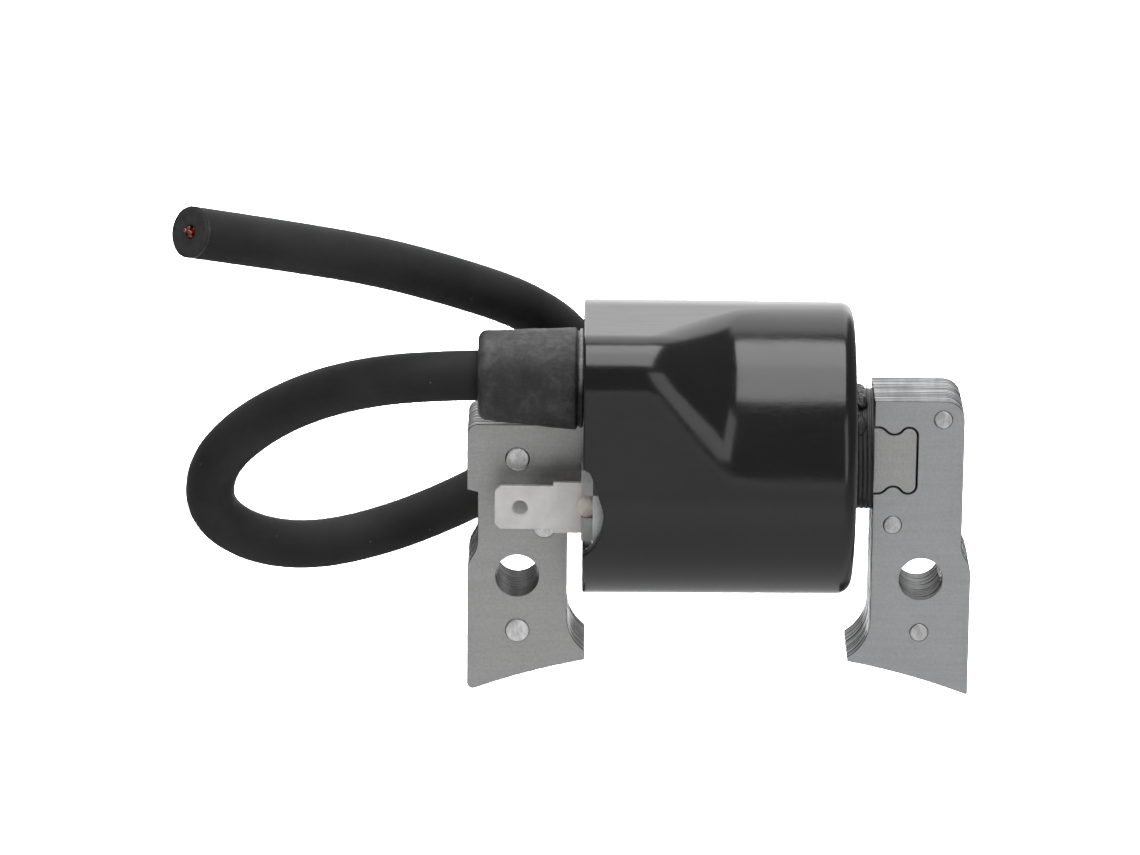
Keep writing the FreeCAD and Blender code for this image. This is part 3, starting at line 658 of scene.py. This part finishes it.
def lump(name, centre, size, seed):
    """Ball stretched to a size, its radius one plus waves of several lengths round it and down it."""
    phase = np.random.default_rng(seed).uniform(0, 6.3, 6)
    down = np.linspace(0.001, np.pi - 0.001, 40)[:, None]
    turn = np.linspace(0, 2 * np.pi, 64, endpoint=False)[None, :]
    swell = (1 + 0.08 * np.sin(3 * turn + phase[0]) * np.sin(down) + 0.05 * np.sin(5 * down + phase[1])
             + 0.035 * np.sin(9 * turn + phase[2]) * np.sin(7 * down + phase[3])
             + 0.02 * np.sin(17 * turn + phase[4]) * np.sin(15 * down + phase[5]))
    ball = np.stack([np.sin(down) * np.cos(turn), np.sin(down) * np.sin(turn), np.cos(down) + 0 * turn], -1)
    places = np.array(centre) * MM + swell[:, :, None] * ball * np.array(size) * MM
    return ring_mesh(name, places[:, ::-1])


lumps = [lump("lump", (19.3, -8.9, 25.3), (1.0, 1.7, 1.0), 1),
         lump("lump", (19.2, -12.1, 22.8), (0.9, 1.25, 1.5), 2),
         lump("lump", (19.2, -4.3, 25.5), (0.9, 2.6, 0.8), 3)]
resin_lumps = joined("boss_resin_lumps", lumps)
potting_resin, resin_shader = new_material("potting_resin", (0.02, 0.02, 0.02), 0.2)
resin_noise = object_noise(potting_resin, 260.0, 5.0, 0.6)
link(potting_resin, ramp(potting_resin, resin_noise, [(0.3, 0.012), (0.7, 0.035)]),
     resin_shader.inputs["Base Color"])
link(potting_resin, ramp(potting_resin, resin_noise, [(0.3, 0.12), (0.7, 0.4)]),
     resin_shader.inputs["Roughness"])
bump(potting_resin, resin_shader, resin_noise, 0.0003, 0.6)
shown(resin_lumps, potting_resin)

# Lead boot.
# Soft matt rubber sleeve over the lead where it enters the case: slightly wider at the
# case end, with rounded outer corners and a thin lip at the neck.
boot_start, neck_start, boot_stop = -33.8, -20.1, -17.2
boot_axis_y, boot_axis_z = -12.6, 29.9


def boot_mesh():
    """Rings along X, in millimetres: bore, rounded outer corner, widening barrel, step in to the neck's lips.

    The radius is the profile's plus slow dents, and the barrel's centre sags towards the neck."""
    quarter = np.linspace(0, math.pi / 2, 12)
    profile = [(-31.0, 3.55), (-33.0, 3.55), (-33.5, 3.62), (-33.75, 3.9),
               (boot_start, 4.3), (boot_start, 5.0)]
    profile += [(-32.5 - 1.3 * math.sin(t), 5.0 + 1.3 * math.cos(t)) for t in quarter[-2::-1]]
    profile += [(x, 6.3 + 0.85 * (x + 32.5) / 12.4) for x in np.linspace(-32.5, -20.5, 60)[1:]]
    profile += [(-20.5 + 0.4 * math.sin(t), 6.72 + 0.4 * math.cos(t))
                for t in np.linspace(0, math.pi / 2, 6)[1:]]
    profile += [(-20.05, 6.75), (-20.0, 6.6), (-19.85, 6.55), (-19.75, 6.7), (-19.7, 6.85), (-19.5, 6.9),
                (-19.3, 6.85), (-19.25, 6.6), (-19.2, 5.65), (-18.6, 5.6), (-17.6, 5.6), (boot_stop, 5.6),
                (boot_stop, 3.65)]
    x, radius = np.array(profile).T[:, :, None]
    angle = np.linspace(0, 2 * np.pi, 160, endpoint=False)
    sag = np.interp(x, [boot_start, neck_start, -19.9], [0.0, -0.45, -0.35])
    dents = 0.05 * np.sin(2 * angle + 1.0) + 0.03 * np.sin(5 * angle + x)
    radius = radius + dents * ((x > -33.6) & (x < -20.3))
    places = np.stack([x + 0 * radius, boot_axis_y - radius * np.cos(angle),
                       boot_axis_z + sag + radius * np.sin(angle)], -1)
    return ring_mesh("lead_boot_sleeve", (places * MM)[:, ::-1], looped=True)


def along_axis(material, axis, low, high):
    """0 to 1 between two places along an axis of the object's coordinates."""
    coordinates = add_node(material, "ShaderNodeTexCoord")
    split = add_node(material, "ShaderNodeSeparateXYZ")
    share = add_node(material, "ShaderNodeMapRange", From_Min=low, From_Max=high)
    link(material, coordinates.outputs["Object"], split.inputs["Vector"])
    link(material, split.outputs[axis], share.inputs["Value"])
    return share.outputs["Result"]


boot_rubber, boot_shader = new_material("boot_rubber", (0.03, 0.03, 0.03), 0.62)
mottle = object_noise(boot_rubber, 230.0, 6.0, 0.7)
pores = object_noise(boot_rubber, 1300.0, 6.0, 0.75)
bloom = object_noise(boot_rubber, 70.0, 4.0, 0.6)
boot_tone = blended(boot_rubber, 0.8, ramp(boot_rubber, mottle, [(0.3, 0.016), (0.5, 0.03), (0.7, 0.085)]),
                    ramp(boot_rubber, bloom, [(0.35, 0.7), (0.7, 1.15)]), "MULTIPLY")
# Painted highlight: the neck and its lip turn lighter towards their upper side, from just below the boot's
# axis upward.
painted_neck_highlight = add_node(boot_rubber, "ShaderNodeMath", operation="MULTIPLY")
link(boot_rubber, along_axis(boot_rubber, "X", -19.95 * MM, -19.7 * MM), painted_neck_highlight.inputs[0])
link(boot_rubber, along_axis(boot_rubber, "Z", 29.0 * MM, 32.0 * MM), painted_neck_highlight.inputs[1])
boot_colour = blended(boot_rubber, painted_neck_highlight.outputs["Value"], boot_tone,
                      ramp(boot_rubber, mottle, [(0.35, 0.12), (0.6, 0.5)]))
link(boot_rubber, boot_colour, boot_shader.inputs["Base Color"])
link(boot_rubber, ramp(boot_rubber, pores, [(0.3, 0.5), (0.7, 0.75)]), boot_shader.inputs["Roughness"])
boot_dents = bump(boot_rubber, boot_shader, mottle, 0.0003, 0.6)
bump(boot_rubber, boot_shader, pores, 0.00006, 0.6, below=boot_dents)
shown(boot_mesh(), boot_rubber, ["lead_boot"])


# Kill terminal, its holder and its solder.
# A tinned 6.3 mm push-on blade stands out of a white nylon holder set in the case's
# notch, with a bead of solder where the winding's wire meets it.
def bevelled_copy(name, node, width, segments=3):
    """Copy of a CAD node with its loose triangles merged, flat faces joined and its edges rounded."""
    copy = bmesh.new()
    copy.from_mesh(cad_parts[node].data)
    bmesh.ops.remove_doubles(copy, verts=copy.verts, dist=1e-6)
    bmesh.ops.dissolve_limit(copy, angle_limit=0.02, verts=copy.verts, edges=copy.edges)
    for face in copy.faces:
        face.smooth = True
    for edge in copy.edges:
        edge.smooth = len(edge.link_faces) == 2 and edge.calc_face_angle() < 0.5
    mesh = bpy.data.meshes.new(name)
    copy.to_mesh(mesh)
    copy.free()
    piece = bpy.data.objects.new(name, mesh)
    bpy.context.scene.collection.objects.link(piece)
    rounding = piece.modifiers.new("rounding", "BEVEL")
    rounding.width = width
    rounding.segments = segments
    rounding.limit_method = "ANGLE"
    rounding.angle_limit = 0.5
    rounding.harden_normals = True
    return piece


tinned, tinned_shader = new_material("tinned_tab", (0.55, 0.55, 0.54), 0.42, 0.35)
tin_cloud = object_noise(tinned, 350.0, 5.0, 0.6)
tin_fine = object_noise(tinned, 1500.0, 6.0, 0.8, stretch=(0.3, 1.0, 1.0))
tin = ramp(tinned, tin_cloud, [(0.3, (0.66, 0.65, 0.635)), (0.7, (0.8, 0.79, 0.775))])
heat_tint = blended(tinned, along_axis(tinned, "X", -20.8 * MM, -18.4 * MM), tin, (0.76, 0.69, 0.65, 1.0))
link(tinned, heat_tint, tinned_shader.inputs["Base Color"])
link(tinned, ramp(tinned, tin_fine, [(0.3, 0.36), (0.7, 0.52)]), tinned_shader.inputs["Roughness"])
bump(tinned, tinned_shader, tin_fine, 0.00003, 0.5)
blade = bevelled_copy("kill_terminal_blade", "kill_terminal", 0.12 * MM)
shown(blade, tinned, ["kill_terminal"])

tab_hole = (-27.85 * MM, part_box("kill_terminal")[0].y, 11.9 * MM)
burr_profile = [(-0.02, 1.32), (0.03, 1.26), (0.055, 1.18), (0.05, 1.1), (-0.02, 1.05)]
shown(lathe("terminal_hole_burr", burr_profile, tab_hole, (0, -1, 0), 64), tinned)

nylon, nylon_shader = new_material("white_nylon", (0.6, 0.61, 0.615), 0.45)
nylon_shader.inputs["Subsurface Weight"].default_value = 0.15
nylon_shader.inputs["Subsurface Radius"].default_value = (0.001, 0.001, 0.001)
nylon_noise = object_noise(nylon, 450.0, 4.0, 0.6)
link(nylon, ramp(nylon, nylon_noise, [(0.3, (0.46, 0.47, 0.47)), (0.7, (0.58, 0.59, 0.59))]),
     nylon_shader.inputs["Base Color"])
bump(nylon, nylon_shader, nylon_noise, 0.00006, 0.5)
holder = bevelled_copy("terminal_holder_moulding", "terminal_holder", 0.3 * MM)
shown(holder, nylon, ["terminal_holder"])

solder, solder_shader = new_material("solder_joint", (0.7, 0.62, 0.56), 0.42)
solder_noise = object_noise(solder, 600.0, 5.0, 0.6)
link(solder, ramp(solder, solder_noise, [(0.3, (0.8, 0.71, 0.65)), (0.7, (0.9, 0.84, 0.79))]),
     solder_shader.inputs["Base Color"])
link(solder, ramp(solder, solder_noise, [(0.3, 0.3), (0.7, 0.5)]), solder_shader.inputs["Roughness"])
bump(solder, solder_shader, solder_noise, 0.00006, 0.4)
bead = lump("terminal_solder_bead", (-18.6, -17.2, 12.5), (1.35, 1.2, 1.65), 8)
shown(bead, solder, ["terminal_solder"])

# Potting resin and the parts sealed in it.
# Everything inside the case keeps its CAD shape; each kind has its own finish, seen only
# where the resin's face shows at the open end.
def dress(nodes, material):
    """Puts a material on CAD nodes' own slots."""
    for node in nodes:
        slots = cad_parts[node].data.materials
        slots.clear()
        slots.append(material)


def speckled(name, dark, light, roughness, metallic, scale, depth, stretch=(1, 1, 1)):
    """Material whose colour runs between two tones over fine noise that also lifts the surface."""
    material, shader = new_material(name, light, roughness, metallic)
    noise = object_noise(material, scale, 5.0, 0.65, stretch=stretch)
    link(material, ramp(material, noise, [(0.3, dark), (0.7, light)]), shader.inputs["Base Color"])
    link(material, ramp(material, noise, [(0.3, roughness * 0.8), (0.7, min(1.0, roughness * 1.25))]),
         shader.inputs["Roughness"])
    bump(material, shader, noise, depth, 0.6)
    return material


dress(["potting_resin"], potting_resin)
dress(["primary_bobbin", "secondary_bobbin"], bobbin_plastic)
dress(["primary_winding", "secondary_winding", "primary_lead_wire", "ht_link_wire"],
      speckled("winding_copper", (0.3, 0.1, 0.04), (0.62, 0.25, 0.11), 0.3, 0.9, 900.0, 0.00008,
               (8.0, 0.4, 0.4)))
dress(["winding_insulation"],
      speckled("insulating_film", (0.45, 0.33, 0.08), (0.62, 0.48, 0.16), 0.35, 0.0, 300.0, 0.00004))
dress(["circuit_board"],
      speckled("board_laminate", (0.02, 0.09, 0.035), (0.04, 0.16, 0.06), 0.4, 0.0, 1800.0, 0.00003))
dress(["switching_transistor", "control_chip", "board_resistors", "board_capacitor", "board_diode"],
      speckled("component_body", (0.012, 0.012, 0.012), (0.035, 0.034, 0.033), 0.5, 0.0, 1600.0, 0.00003))
dress(["ht_contact", "earth_strap"],
      speckled("contact_brass", (0.5, 0.34, 0.12), (0.75, 0.56, 0.26), 0.3, 1.0, 700.0, 0.00003,
               (0.3, 1.0, 1.0)))

# Floor and studio light.
# A pale paper sweep below the coil, a wide soft box overhead, a strip at the right, and
# smaller lights that only wash the paper.
floor_size = 9.0
floor_height = -0.5
bpy.ops.mesh.primitive_plane_add(size=floor_size, location=(0, 0, floor_height))
floor = bpy.context.object
floor.name = "floor"
floor_material = new_material("pale_paper", (0.8, 0.8, 0.8), 0.9)[0]
floor.data.materials.append(floor_material)


def soft_box(name, place, aim, size, power):
    """Rectangular area light of a given width and depth that faces a point."""
    data = bpy.data.lights.new(name, "AREA")
    data.shape = "RECTANGLE"
    data.size, data.size_y = size
    data.energy = power
    light = bpy.data.objects.new(name, data)
    light.matrix_world = (Matrix.Translation(place)
                          @ (Vector(aim) - Vector(place)).to_track_quat("-Z", "Y").to_matrix().to_4x4())
    bpy.context.scene.collection.objects.link(light)
    return light


soft_box("overhead_box", (0.0, -0.125, 0.62), (0.0, -0.125, 0.0), (0.44, 0.66), 3.75)
soft_box("overhead_core", (0.0, 0.065, 0.615), (0.0, 0.065, 0.0), (0.44, 0.27), 0.3)
soft_box("side_strip", (0.46, -0.86, 0.28), (0.0, 0.0, 0.02), (0.42, 0.85), 1.75)
fill = soft_box("floor_fill", (0.0, -0.85, 0.3), (0.0, -0.85, floor_height), (0.5, 0.5), 0.7)
fill.data.spread = math.radians(90)
far_fill = soft_box("far_floor_fill", (0.0, -2.5, 1.6), (0.0, -2.5, floor_height), (0.6, 0.6), 11.0)
far_fill.data.spread = math.radians(90)
for side in (-1, 1):
    wash = soft_box("backdrop_wash", (side * 1.2, 1.85, 0.6), (0.0, 1.85, floor_height), (0.5, 0.5), 34.0)
    wash.data.spread = math.radians(72)

# The room: dark in front and at both sides, with a bright wall behind the coil.
world = bpy.data.worlds.new("studio")
bpy.context.scene.world = world
world.use_nodes = True
dark_wall, bright_wall = (0.13, 0.13, 0.13), (0.95, 0.95, 0.95)
direction = add_node(world, "ShaderNodeTexCoord")
split = add_node(world, "ShaderNodeSeparateXYZ")
rearward = add_node(world, "ShaderNodeMapRange", From_Min=-1.0, From_Max=1.0)
sideways = add_node(world, "ShaderNodeMath", operation="ABSOLUTE")
wall_edge = add_node(world, "ShaderNodeMapRange", From_Min=0.34, From_Max=0.46)
link(world, direction.outputs["Generated"], split.inputs["Vector"])
link(world, split.outputs["Y"], rearward.inputs["Value"])
link(world, split.outputs["X"], sideways.inputs[0])
link(world, sideways.outputs["Value"], wall_edge.inputs["Value"])
back_wall = ramp(world, rearward.outputs["Result"], [(0.72, dark_wall), (0.76, bright_wall)])
walls = blended(world, wall_edge.outputs["Result"], back_wall, (*dark_wall, 1.0))
background = world.node_tree.nodes["Background"]
link(world, walls, background.inputs["Color"])
background.inputs["Strength"].default_value = 1.9
bpy.context.scene.view_settings.view_transform = "Standard"
